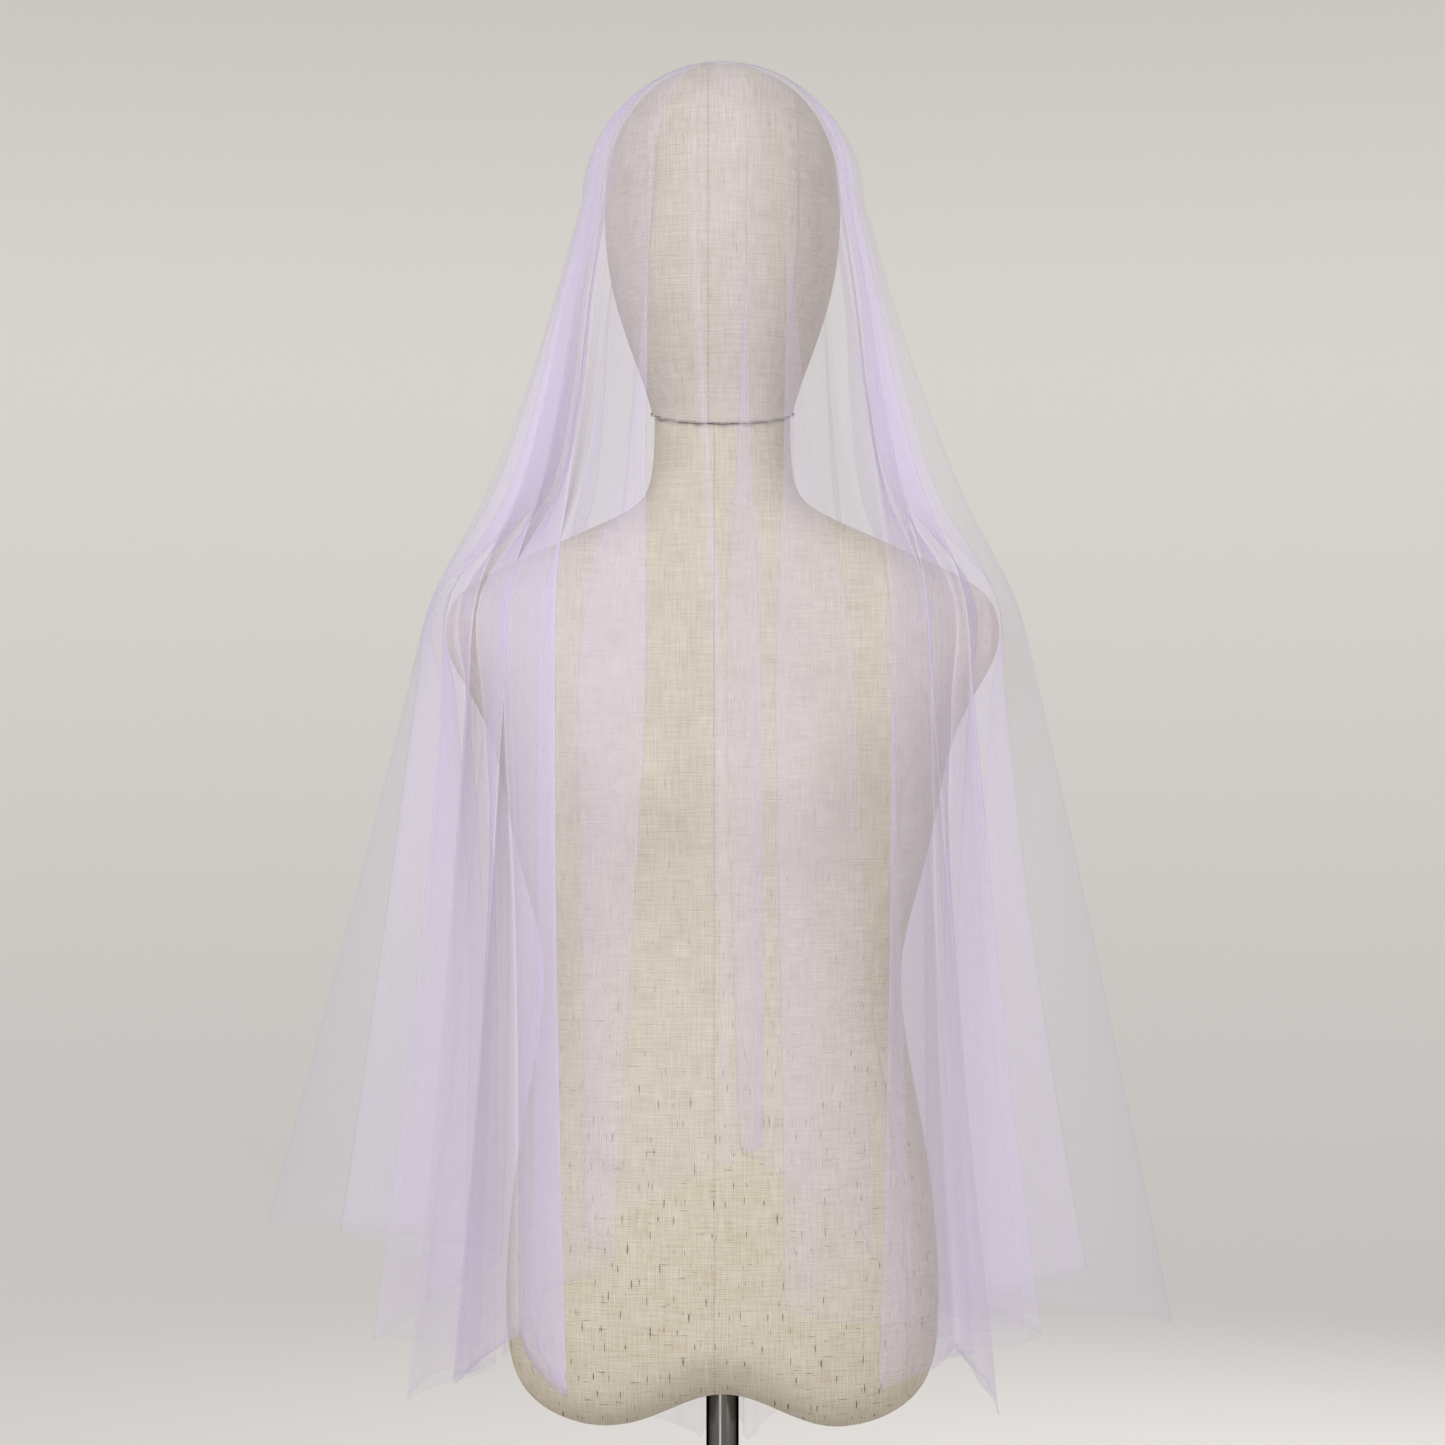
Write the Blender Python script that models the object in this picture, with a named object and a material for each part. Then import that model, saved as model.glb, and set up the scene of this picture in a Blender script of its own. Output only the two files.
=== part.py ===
"""A soft tulle bridal veil draped over the smooth head of a limbless dress form.

The origin is on the floor, under the middle of the round base. +Z is up, the front faces -Y and +X lies to
the right of someone who looks at the front. The tables are in centimetres and degrees, the mesh in metres.
An azimuth is 0 at the front, 90 at +X and 180 at the back.
"""

import math

import bmesh
import bpy
import numpy as np

CM = 0.01
FIT_GAP = 0.0003

# Driving dimensions of the cloth, in centimetres

CLOTH_WALL = 0.12
WALL_MERGE = 0.0001
CROWN_HEIGHT = 169.88
TEMPLE_HEIGHT = 160.7
CROWN_ROUNDNESS = 2.1
SHOULDER_HEIGHT = 132.5
COLUMNS_PER_FOLD = 8
CROWN_RING_ANGLES = (79, 65, 50, 35, 18)
UPPER_RING_HEIGHTS = (160.7, 155, 149, 143, 137.5, SHOULDER_HEIGHT)
LOWER_RING_SHARES = (0.16, 0.43, 0.72, 1.0)

# The folds run between two smooth outlines: valleys lie near the inner one and ridges near the outer one.
# Each row gives both outlines at one height, as half widths and depths, and how square the plan is there.

STATION_COLUMNS = (
    "height", "side_in", "front_in", "back_in", "side_out", "front_out", "back_out", "squareness")
STATIONS = (
    (160.7, 8.3, 9.8, 10.4, 9.9, 10.9, 11.6, 2.00),
    (153.9, 9.8, 10.2, 10.7, 11.9, 12.4, 13.7, 2.00),
    (147.2, 10.4, 10.6, 11.0, 14.4, 13.4, 15.4, 2.00),
    (140.4, 12.0, 11.4, 11.2, 17.2, 14.6, 16.9, 2.15),
    (133.6, 19.2, 12.3, 11.5, 19.9, 15.8, 18.2, 2.40),
    (126.9, 18.0, 12.8, 11.8, 22.0, 16.8, 19.4, 2.35),
    (113.0, 16.4, 12.9, 12.1, 25.5, 18.6, 21.6, 2.20),
    (99.0, 16.4, 12.9, 12.6, 28.5, 20.4, 23.8, 2.10),
    (85.0, 16.6, 12.9, 12.9, 31.3, 22.2, 26.0, 2.10),
    (70.0, 16.8, 12.9, 12.9, 33.8, 24.1, 28.4, 2.10),
)

# One row for each fold: the azimuths of its ridge and of the valley after it, and how far the ridge reaches
# from the inner outline (0) to the outer one (1), each at the temple, shoulder and hem levels. A ridge whose
# azimuth passes that of a valley beside it leans over it, which is how the flat front pleats lie.
# Then come the valley's own reach, and the heights where the ridge and the valley end at the raw hem.
# Below the hem level the azimuths and reaches run on in the same line, up to BELOW_HEM_LEVEL.

FOLD_LEVELS = (166.0, 130.0, 88.0)
BELOW_HEM_LEVEL = 1.5
FOLD_COLUMNS = (
    "name",
    "ridge_temple", "ridge_shoulder", "ridge_hem",
    "valley_temple", "valley_shoulder", "valley_hem",
    "reach_temple", "reach_shoulder", "reach_hem",
    "valley_reach", "ridge_end", "valley_end")
FOLDS = (
    ("left_flare", -100, -94, -90, -90, -80, -70, 0.90, 1.00, 1.22, 0.10, 91.8, 92.0),
    ("left_side", -87, -78, -72, -79, -72, -65, 0.80, 0.80, 0.90, 0.10, 92.2, 89.0),
    ("left_third", -77, -66, -58, -71, -67, -61, 0.80, 0.70, 0.95, 0.10, 86.1, 85.0),
    ("left_second", -69, -56, -52, -64, -62, -56, 0.80, 0.80, 0.90, 0.12, 82.5, 84.0),
    ("left_first", -61, -47, -43, -56, -57, -52, 0.80, 0.80, 0.95, 0.10, 84.0, 86.0),
    ("left_pleat", -52, -34, -23, -42, -47, -46, 0.90, 1.00, 1.00, 0.25, 83.7, 88.0),
    ("left_front_pleat", -27, -13, -16, -23, -41, -37, 1.00, 1.00, 1.00, 0.10, 92.0, 93.0),
    ("centre_crease", -13, 1, 4, 8, 12, 12, 0.70, 0.36, 0.36, 0.10, 97.5, 98.5),
    ("centre_pleat", 11, -2, 2, 22, 38, 42, 0.90, 0.76, 0.80, 0.10, 98.5, 92.0),
    ("right_front_pleat", 24, 8, 6, 38, 43, 46, 1.00, 1.00, 1.00, 0.25, 89.0, 87.0),
    ("right_pleat", 52, 35, 23, 56, 52, 54, 0.90, 1.00, 1.00, 0.25, 84.3, 85.0),
    ("right_first", 60, 44, 42, 64, 59, 58, 0.80, 0.90, 1.00, 0.10, 82.3, 85.0),
    ("right_second", 68, 55, 54, 72, 64, 61, 0.80, 0.80, 0.90, 0.10, 86.3, 88.0),
    ("right_third", 77, 67, 66, 82, 72, 67, 0.80, 0.70, 0.90, 0.10, 90.0, 88.0),
    ("right_flare", 91, 90, 90, 104, 120, 124, 0.90, 1.00, 1.06, 0.00, 84.9, 84.0),
    ("back_right_outer", 112, 122, 124, 121, 131, 134, 0.80, 0.80, 0.85, 0.00, 82.0, 81.0),
    ("back_right_third", 127, 136, 138, 135, 143, 146, 0.80, 0.90, 1.00, 0.05, 79.0, 78.0),
    ("back_right_second", 142, 150, 152, 149, 157, 159, 0.80, 0.80, 0.85, 0.00, 77.0, 76.0),
    ("back_right_first", 158, 164, 166, 166, 171, 173, 0.80, 0.90, 0.95, 0.00, 75.0, 74.0),
    ("back_middle", 174, 178, 179, 182, 185, 186, 0.80, 1.00, 1.00, 0.05, 73.5, 74.0),
    ("back_left_first", 190, 192, 193, 199, 199, 200, 0.80, 0.80, 0.90, 0.00, 74.0, 76.0),
    ("back_left_second", 207, 206, 206, 215, 213, 213, 0.80, 0.90, 1.00, 0.05, 76.0, 79.0),
    ("back_left_third", 223, 220, 219, 231, 226, 226, 0.80, 0.80, 0.85, 0.00, 79.0, 82.0),
    ("back_left_outer", 240, 234, 232, 250, 241, 238, 0.80, 0.90, 0.95, 0.05, 83.5, 88.0),
)

# Driving dimensions of the form, in centimetres

HEAD_TOP = 169.8
NECK_SEAM_HEIGHT = 146.2
NECK_SEAM_TILT = math.radians(11)
NECK_SEAM_GAP = 0.04
BUST_HEIGHT = 122.0
BUST_SPREAD = 5.2
BUST_DEPTH = 3.2
BUST_WIDTH_RADIUS = 4.2
BUST_HEIGHT_RADIUS = 4.5
LOBE_SPREAD = 8.5
LOBE_NOTCH = 2.8
LOBE_BLEND_TOP = 85.0
LOBE_BLEND_BOTTOM = 80.0
TORSO_BOTTOM = 77.6
HEAD_COLUMNS = 40
TORSO_COLUMNS = 44
HEAD_RING_ANGLES = (78, 63, 48, 33, 17)

SECTION_COLUMNS = ("height", "side", "front", "back", "squareness")
HEAD_SECTIONS = (
    (160.7, 8.00, 9.5, 10.0, 2.0),
    (157.3, 7.95, 9.3, 9.9, 2.0),
    (153.9, 7.35, 8.8, 9.4, 2.0),
    (150.5, 6.20, 7.5, 8.2, 2.0),
    (148.5, 5.40, 6.5, 7.0, 2.0),
    (146.5, 4.80, 5.7, 6.0, 2.0),
    (144.0, 4.60, 5.1, 5.5, 2.0),
)
TORSO_SECTIONS = (
    (148.5, 4.6, 5.0, 5.4, 2.00),
    (143.5, 4.6, 5.0, 5.4, 2.00),
    (141.0, 4.9, 5.1, 5.6, 2.00),
    (139.8, 6.0, 5.0, 5.9, 2.00),
    (138.5, 9.0, 4.9, 6.2, 2.00),
    (137.0, 12.5, 5.0, 6.6, 2.10),
    (135.5, 16.0, 5.2, 7.1, 2.20),
    (134.2, 18.2, 5.6, 7.5, 2.30),
    (132.5, 19.0, 6.4, 8.2, 2.45),
    (130.0, 18.9, 7.5, 9.0, 2.50),
    (127.6, 17.2, 8.4, 9.4, 2.50),
    (124.9, 15.8, 9.0, 9.5, 2.50),
    (121.5, 14.8, 9.2, 9.3, 2.40),
    (118.0, 14.3, 9.1, 8.9, 2.35),
    (114.0, 13.2, 8.7, 8.2, 2.30),
    (110.0, 12.0, 8.4, 7.6, 2.30),
    (106.0, 12.1, 8.4, 7.6, 2.30),
    (102.0, 12.8, 8.7, 8.4, 2.30),
    (96.0, 14.0, 9.2, 10.2, 2.35),
    (90.0, 14.6, 9.5, 11.4, 2.40),
    (85.0, 14.7, 9.3, 11.2, 2.40),
    (82.0, 14.3, 8.9, 10.4, 2.40),
    (80.0, 13.1, 8.0, 9.2, 2.40),
    (78.7, 11.0, 6.6, 7.6, 2.30),
    (78.0, 8.2, 4.6, 5.4, 2.20),
    (77.7, 4.0, 2.2, 2.6, 2.00),
)

# Driving dimensions of the stand, in centimetres

POLE_RADIUS = 1.1
POLE_SOCKET_TOP = 93.0
SOCKET_GUIDE_REACH = 5.0
POLE_SIDES = 32
BASE_RADIUS = 16.5
BASE_THICKNESS = 0.8
BASE_EDGE = 0.2
HUB_RADIUS = 2.2
HUB_HEIGHT = 3.2
HUB_EDGE = 0.15
HUB_SOCKET_FLOOR = 0.3
BASE_SIDES = 64

MATERIALS = {
    "tulle": {"colour": (0.78, 0.72, 0.84), "roughness": 0.85, "metallic": 0.0},
    "linen": {"colour": (0.72, 0.66, 0.55), "roughness": 0.90, "metallic": 0.0},
    "chrome": {"colour": (0.80, 0.80, 0.80), "roughness": 0.15, "metallic": 1.0},
}


def column(table, names, name):
    """One named column of a table, as an array."""
    index = names.index(name)
    return np.array([float(row[index]) for row in table])


def smooth_value(height, table, names, name):
    """A table's column read at any height, along a smooth curve through its rows, top row first."""
    heights = column(table, names, "height")[::-1]
    values = column(table, names, name)[::-1]
    slopes = np.diff(values) / np.diff(heights)
    middle_slopes = (slopes[1:] + slopes[:-1]) / 2
    tangents = np.concatenate((slopes[:1], middle_slopes, slopes[-1:]))
    height = np.clip(height, heights[0], heights[-1])
    row = np.clip(np.searchsorted(heights, height) - 1, 0, len(heights) - 2)
    step = heights[row + 1] - heights[row]
    t = (height - heights[row]) / step
    start = (2 * t**3 - 3 * t**2 + 1) * values[row] + (t**3 - 2 * t**2 + t) * step * tangents[row]
    end = (3 * t**2 - 2 * t**3) * values[row + 1] + (t**3 - t**2) * step * tangents[row + 1]
    return start + end


def plan_radius(azimuth, side, front, back, squareness):
    """Distance from the middle to a rounded outline with its own half width, front and back depth."""
    sine = np.abs(np.sin(azimuth))
    cosine = np.abs(np.cos(azimuth))
    depth = np.where(np.cos(azimuth) > 0, front, back)
    return ((sine / side) ** squareness + (cosine / depth) ** squareness) ** (-1 / squareness)


def crown_share(height, top):
    """How wide the rounded crown still is at a height, from 1 at the temples to 0 at the top."""
    rise = np.clip((height - TEMPLE_HEIGHT) / (top - TEMPLE_HEIGHT), 0, 1)
    return (1 - rise**CROWN_ROUNDNESS) ** (1 / CROWN_ROUNDNESS)


def crown_heights(angles, top):
    """Heights of the rings of a rounded crown, given as angles above the temples."""
    return [TEMPLE_HEIGHT + (top - TEMPLE_HEIGHT) * math.sin(math.radians(angle)) for angle in angles]


FOLD_COUNT = len(FOLDS)
RIDGE_AZIMUTHS = np.column_stack(
    [column(FOLDS, FOLD_COLUMNS, "ridge_" + level) for level in ("temple", "shoulder", "hem")])
RIDGE_REACHES = np.column_stack(
    [column(FOLDS, FOLD_COLUMNS, "reach_" + level) for level in ("temple", "shoulder", "hem")])
VALLEY_AZIMUTHS = np.column_stack(
    [column(FOLDS, FOLD_COLUMNS, "valley_" + level) for level in ("temple", "shoulder", "hem")])
VALLEY_REACHES = column(FOLDS, FOLD_COLUMNS, "valley_reach")
RIDGE_ENDS = column(FOLDS, FOLD_COLUMNS, "ridge_end")
VALLEY_ENDS = column(FOLDS, FOLD_COLUMNS, "valley_end")


def at_height(levels, height):
    """Values given at the temple, shoulder and hem levels, read at any height."""
    temple, shoulder, hem = FOLD_LEVELS
    upper = np.clip((height - shoulder) / (temple - shoulder), 0, 1)
    lower = np.clip((shoulder - height) / (shoulder - hem), 0, BELOW_HEM_LEVEL)
    above = levels[..., 1] + (levels[..., 0] - levels[..., 1]) * upper
    below = levels[..., 1] + (levels[..., 2] - levels[..., 1]) * lower
    return np.where(height > shoulder, above, below)


def fold_key(index, height):
    """The corners of the folded line at one height, as azimuth and reach.

    Every fold has four: the valley before it, the middle of its first flank, its ridge, and the middle of
    its second flank. The index counts on round the veil, and a full turn adds 360 degrees.
    """
    turn, index = np.divmod(index, 4 * FOLD_COUNT)
    fold, kind = np.divmod(index, 4)
    before = (fold - 1) % FOLD_COUNT
    ridge = np.stack([at_height(RIDGE_AZIMUTHS[fold], height), at_height(RIDGE_REACHES[fold], height)])
    first = np.stack([at_height(VALLEY_AZIMUTHS[before], height), VALLEY_REACHES[before]])
    last = np.stack([at_height(VALLEY_AZIMUTHS[fold], height), VALLEY_REACHES[fold]])
    first[0] -= np.where(fold == 0, 360, 0)
    corners = (first, (first + ridge) / 2, ridge, (ridge + last) / 2)
    key = np.select([kind == place for place in range(4)], corners)
    key[0] += 360 * turn
    return key


def veil_point(around, height):
    """A point of the cloth's inner face. The folded line is a rounded curve over the corners."""
    corner = np.rint(around).astype(int)
    t = around - corner + 0.5
    before, here, after = (fold_key(corner + offset, height) for offset in (-1, 0, 1))
    azimuth, reach = (1 - t) ** 2 / 2 * before + (0.75 - (t - 0.5) ** 2) * here + t**2 / 2 * after
    azimuth = np.radians(azimuth)
    station = [smooth_value(height, STATIONS, STATION_COLUMNS, name) for name in STATION_COLUMNS[1:]]
    squareness = station[-1]
    inner = plan_radius(azimuth, *station[0:3], squareness)
    outer = plan_radius(azimuth, *station[3:6], squareness)
    share = crown_share(height, CROWN_HEIGHT)
    radius = (inner + (outer - inner) * reach * share**2) * share
    return np.stack([radius * np.sin(azimuth), -radius * np.cos(azimuth), height], axis=-1)


def hem_height(around):
    """Where the cloth ends below, rounded from valley to ridge and on to the next valley."""
    ends = np.column_stack([np.roll(VALLEY_ENDS, 1), RIDGE_ENDS]).ravel()
    place = around / 2
    index = np.floor(place).astype(int)
    t = place - index
    t = t * t * (3 - 2 * t)
    return ends[index % len(ends)] * (1 - t) + ends[(index + 1) % len(ends)] * t


def veil_rings():
    """Rows of points round the veil, from the crown down to the hem."""
    around = np.arange(FOLD_COUNT * COLUMNS_PER_FOLD) * 4 / COLUMNS_PER_FOLD
    level_heights = crown_heights(CROWN_RING_ANGLES, CROWN_HEIGHT) + list(UPPER_RING_HEIGHTS)
    rings = [veil_point(around, np.full(len(around), float(height))) for height in level_heights]
    for share in LOWER_RING_SHARES:
        rings.append(veil_point(around, SHOULDER_HEIGHT + (hem_height(around) - SHOULDER_HEIGHT) * share))
    return rings


def section_ring(height, sections, top, columns):
    """One ring of the form, from its table of sections."""
    side, front, back, squareness = (
        smooth_value(height, sections, SECTION_COLUMNS, name) for name in SECTION_COLUMNS[1:])
    azimuth = np.linspace(0, 2 * math.pi, columns, endpoint=False)
    radius = plan_radius(azimuth, side, front, back, squareness) * crown_share(height, top)
    return np.stack(
        [radius * np.sin(azimuth), -radius * np.cos(azimuth), np.full(columns, float(height))], axis=-1)


def add_bust(ring):
    """Two soft rises on the front of the torso."""
    x, y, z = ring.T
    across = np.exp(-((x - BUST_SPREAD) / BUST_WIDTH_RADIUS) ** 2)
    across += np.exp(-((x + BUST_SPREAD) / BUST_WIDTH_RADIUS) ** 2)
    rise = across * np.exp(-((z - BUST_HEIGHT) / BUST_HEIGHT_RADIUS) ** 2)
    ring[:, 1] = y - BUST_DEPTH * np.where(y < 0, rise, 0)
    return ring


def add_lobes(ring):
    """The lower end rises to a shallow notch in the middle, which leaves a rounded lobe at each side."""
    x, y, z = ring.T
    notch = np.where(np.abs(x) < LOBE_SPREAD, 0.5 + 0.5 * np.cos(math.pi * x / LOBE_SPREAD), 0)
    blend = np.clip((LOBE_BLEND_TOP - z) / (LOBE_BLEND_TOP - LOBE_BLEND_BOTTOM), 0, 1)
    ring[:, 2] = z + LOBE_NOTCH * notch * blend * blend * (3 - 2 * blend)
    return ring


def lofted_mesh(name, rings, top=None, bottom=None):
    """Quads between rings that run from the top down, with a fan to each end point that is given."""
    bm = bmesh.new()
    rows = [[bm.verts.new(point * CM) for point in ring] for ring in rings]
    count = len(rows[0])
    for upper, lower in zip(rows, rows[1:]):
        for i in range(count):
            j = (i + 1) % count
            bm.faces.new((upper[i], lower[i], lower[j], upper[j]))
    if top is not None:
        tip = bm.verts.new(np.array(top) * CM)
        for i in range(count):
            bm.faces.new((tip, rows[0][i], rows[0][(i + 1) % count]))
    if bottom is not None:
        tip = bm.verts.new(np.array(bottom) * CM)
        for i in range(count):
            bm.faces.new((tip, rows[-1][(i + 1) % count], rows[-1][i]))
    mesh = bpy.data.meshes.new(name)
    bm.to_mesh(mesh)
    bm.free()
    return mesh


def turned_mesh(name, profile, sides):
    """A round solid from its outline of (radius, height) points, which starts and ends on the axis."""
    angles = np.linspace(0, 2 * math.pi, sides, endpoint=False)
    rings = [
        np.stack([r * np.cos(angles), r * np.sin(angles), np.full(sides, z)], axis=-1)
        for r, z in profile[1:-1]]
    return lofted_mesh(name, rings, (0, 0, profile[0][1]), (0, 0, profile[-1][1]))


def cut_level(mesh, height, keep_above):
    """Cut a mesh by the tilted plane of the neck seam and close the cut."""
    normal = np.array((0, -math.sin(NECK_SEAM_TILT), math.cos(NECK_SEAM_TILT)))
    bm = bmesh.new()
    bm.from_mesh(mesh)
    parts = bm.verts[:] + bm.edges[:] + bm.faces[:]
    cut = bmesh.ops.bisect_plane(
        bm, geom=parts, plane_co=(0, 0, height * CM), plane_no=normal,
        clear_inner=keep_above, clear_outer=not keep_above)
    rim = [piece for piece in cut["geom_cut"] if isinstance(piece, bmesh.types.BMEdge)]
    bmesh.ops.holes_fill(bm, edges=rim, sides=len(rim))
    bmesh.ops.recalc_face_normals(bm, faces=bm.faces)
    bm.to_mesh(mesh)
    bm.free()


def add_object(name, mesh, material_name, sharp_degrees=40):
    """An object in the scene with its own material, shaded smooth but for its sharp edges."""
    look = MATERIALS[material_name]
    material = bpy.data.materials.new(name + "_" + material_name)
    material.use_nodes = True
    shader = material.node_tree.nodes["Principled BSDF"]
    shader.inputs["Base Color"].default_value = (*look["colour"], 1)
    shader.inputs["Roughness"].default_value = look["roughness"]
    shader.inputs["Metallic"].default_value = look["metallic"]
    mesh.materials.append(material)
    mesh.shade_smooth()
    mesh.set_sharp_from_angle(angle=math.radians(sharp_degrees))
    thing = bpy.data.objects.new(name, mesh)
    bpy.context.collection.objects.link(thing)
    return thing


def clear_scene():
    """Start from nothing."""
    for thing in list(bpy.data.objects):
        bpy.data.objects.remove(thing)


def make_veil():
    """One cut piece of tulle, closed over the crown and open below, thickened outwards."""
    mesh = lofted_mesh("veil", veil_rings(), top=(0, 0, CROWN_HEIGHT))
    veil = add_object("veil", mesh, "tulle", sharp_degrees=180)
    wall = veil.modifiers.new("cloth wall", "SOLIDIFY")
    wall.solidify_mode = "NON_MANIFOLD"
    wall.nonmanifold_thickness_mode = "FIXED"
    wall.nonmanifold_merge_threshold = WALL_MERGE
    wall.thickness = CLOTH_WALL * CM
    wall.offset = 1
    return veil


def make_head():
    """The egg-shaped head, cut level with the tilted seam at the neck."""
    heights = crown_heights(HEAD_RING_ANGLES, HEAD_TOP) + [row[0] for row in HEAD_SECTIONS]
    rings = [section_ring(height, HEAD_SECTIONS, HEAD_TOP, HEAD_COLUMNS) for height in heights]
    lowest = HEAD_SECTIONS[-1][0]
    mesh = lofted_mesh("head", rings, top=(0, 0, HEAD_TOP), bottom=(0, 0, lowest))
    cut_level(mesh, NECK_SEAM_HEIGHT, keep_above=True)
    return add_object("head", mesh, "linen", sharp_degrees=60)


def make_torso():
    """Neck, shoulders and trunk in one, with a socket for the pole in its lower end."""
    highest = TORSO_SECTIONS[0][0]
    rings = [section_ring(row[0], TORSO_SECTIONS, HEAD_TOP, TORSO_COLUMNS) for row in TORSO_SECTIONS]
    rings = [add_lobes(add_bust(ring)) for ring in rings]
    mesh = lofted_mesh(
        "torso", rings, top=(0, 0, highest), bottom=(0, 0, TORSO_BOTTOM + LOBE_NOTCH))
    cut_level(mesh, NECK_SEAM_HEIGHT - NECK_SEAM_GAP, keep_above=False)
    torso = add_object("torso", mesh, "linen", sharp_degrees=60)
    socket = make_socket_cutter()
    hollow = torso.modifiers.new("pole socket", "BOOLEAN")
    hollow.operation = "DIFFERENCE"
    hollow.solver = "EXACT"
    hollow.object = socket
    return torso


def make_socket_cutter():
    """A guide shape that hollows the torso for the pole. It isn't part of the object."""
    radius = POLE_RADIUS + FIT_GAP / CM
    mouth = TORSO_BOTTOM - SOCKET_GUIDE_REACH
    profile = ((0, POLE_SOCKET_TOP), (radius, POLE_SOCKET_TOP), (radius, mouth), (0, mouth))
    socket = bpy.data.objects.new("socket_guide", turned_mesh("socket_guide", profile, POLE_SIDES))
    bpy.context.collection.objects.link(socket)
    socket.hide_render = True
    socket.display_type = "WIRE"
    return socket


def make_pole():
    """The round pole, from the hub's socket to the top of the torso's socket."""
    top = POLE_SOCKET_TOP - FIT_GAP / CM
    bottom = HUB_SOCKET_FLOOR + FIT_GAP / CM
    profile = ((0, top), (POLE_RADIUS, top), (POLE_RADIUS, bottom), (0, bottom))
    return add_object("pole", turned_mesh("pole", profile, POLE_SIDES), "chrome")


def make_base():
    """A round plate with a raised hub that holds the pole."""
    bore = POLE_RADIUS + FIT_GAP / CM
    profile = (
        (0, HUB_SOCKET_FLOOR),
        (bore, HUB_SOCKET_FLOOR),
        (bore, HUB_HEIGHT),
        (HUB_RADIUS - HUB_EDGE, HUB_HEIGHT),
        (HUB_RADIUS, HUB_HEIGHT - HUB_EDGE),
        (HUB_RADIUS, BASE_THICKNESS),
        (BASE_RADIUS - BASE_EDGE, BASE_THICKNESS),
        (BASE_RADIUS, BASE_THICKNESS - BASE_EDGE),
        (BASE_RADIUS, 0),
        (0, 0),
    )
    return add_object("base", turned_mesh("base", profile, BASE_SIDES), "chrome", sharp_degrees=30)


def main():
    clear_scene()
    make_veil()
    make_head()
    make_torso()
    make_pole()
    make_base()


main()
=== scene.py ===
# %% [markdown]
# # A tulle bridal veil on a dress form
#
# The object is one piece of soft lilac net, laid over the smooth head of a limbless linen dress form. The
# form stands on a chrome pole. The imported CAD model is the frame: every length below is in metres or, in
# the tables of the drape, in centimetres, and everything is already in its place when it is made.

# %% Load the frame
import math

import bmesh
import bpy
import numpy as np
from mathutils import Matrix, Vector


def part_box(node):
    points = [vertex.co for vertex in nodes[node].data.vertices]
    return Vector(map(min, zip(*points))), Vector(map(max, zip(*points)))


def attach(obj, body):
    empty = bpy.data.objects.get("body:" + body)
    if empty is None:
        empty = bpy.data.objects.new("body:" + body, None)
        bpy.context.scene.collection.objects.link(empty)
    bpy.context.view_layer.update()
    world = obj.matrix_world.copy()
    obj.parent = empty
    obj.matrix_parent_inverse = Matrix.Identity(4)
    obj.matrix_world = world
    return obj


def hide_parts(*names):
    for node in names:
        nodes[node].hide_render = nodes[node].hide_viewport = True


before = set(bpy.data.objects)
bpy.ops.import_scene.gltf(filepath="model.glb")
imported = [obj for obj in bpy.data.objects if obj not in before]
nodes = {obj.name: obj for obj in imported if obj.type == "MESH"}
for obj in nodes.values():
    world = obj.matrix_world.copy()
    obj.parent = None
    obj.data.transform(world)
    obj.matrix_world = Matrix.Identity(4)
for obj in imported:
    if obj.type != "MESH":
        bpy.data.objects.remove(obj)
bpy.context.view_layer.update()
CM = 0.01
print("CAD nodes:", ", ".join(sorted(nodes)))

# %% [markdown]
# ## Small helpers for pieces
#
# An operator works on whatever is selected, and loading leaves the CAD nodes selected. So each step starts
# from an empty selection and one active piece. A finished piece is shaded smooth, with sharp edges kept
# where two faces meet at a clear angle.


# %% Select, apply and finish
def make_active(piece):
    """Only this piece is selected and active."""
    bpy.ops.object.select_all(action="DESELECT")
    piece.select_set(True)
    bpy.context.view_layer.objects.active = piece


def apply_modifiers(piece):
    make_active(piece)
    for modifier in list(piece.modifiers):
        bpy.ops.object.modifier_apply(modifier=modifier.name)


def finish_piece(piece, slot_name, *replaced, smooth_degrees=40):
    """Apply what is live, bake the place into the mesh, shade it and tie it to the frame."""
    apply_modifiers(piece)
    bpy.ops.object.transform_apply(location=True, rotation=True, scale=True)
    bpy.ops.object.shade_smooth_by_angle(angle=math.radians(smooth_degrees))
    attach(piece, "root")
    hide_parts(*replaced)
    piece.data.calc_loop_triangles()
    print(piece.name, "has", len(piece.data.loop_triangles), "triangles")


# %% [markdown]
# ## The dress form
#
# The head and the torso have the right shape in the CAD model, but their facets show. Each is copied, its
# loose triangles are merged and paired back into quads, and a subdivision surface rounds them. Edges that
# must stay crisp, such as the rim of the neck joint, get a small bevel first, which also gives that joint
# the fine dark groove it has between head and neck.


# %% Copy a node and make it a clean quad mesh
def copy_node(node_name, piece_name):
    piece = bpy.data.objects.new(piece_name, nodes[node_name].data.copy())
    bpy.context.scene.collection.objects.link(piece)
    piece.data.materials.clear()
    make_active(piece)
    bpy.ops.mesh.customdata_custom_splitnormals_clear()
    bpy.ops.object.mode_set(mode="EDIT")
    bpy.ops.mesh.select_all(action="SELECT")
    bpy.ops.mesh.remove_doubles(threshold=0.00001)
    pair_angle = math.radians(50)
    bpy.ops.mesh.tris_convert_to_quads(face_threshold=pair_angle, shape_threshold=pair_angle)
    bpy.ops.object.mode_set(mode="OBJECT")
    quads = sum(len(face.vertices) == 4 for face in piece.data.polygons)
    print(piece_name, "starts with", quads, "quads of", len(piece.data.polygons), "faces")
    return piece


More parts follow.
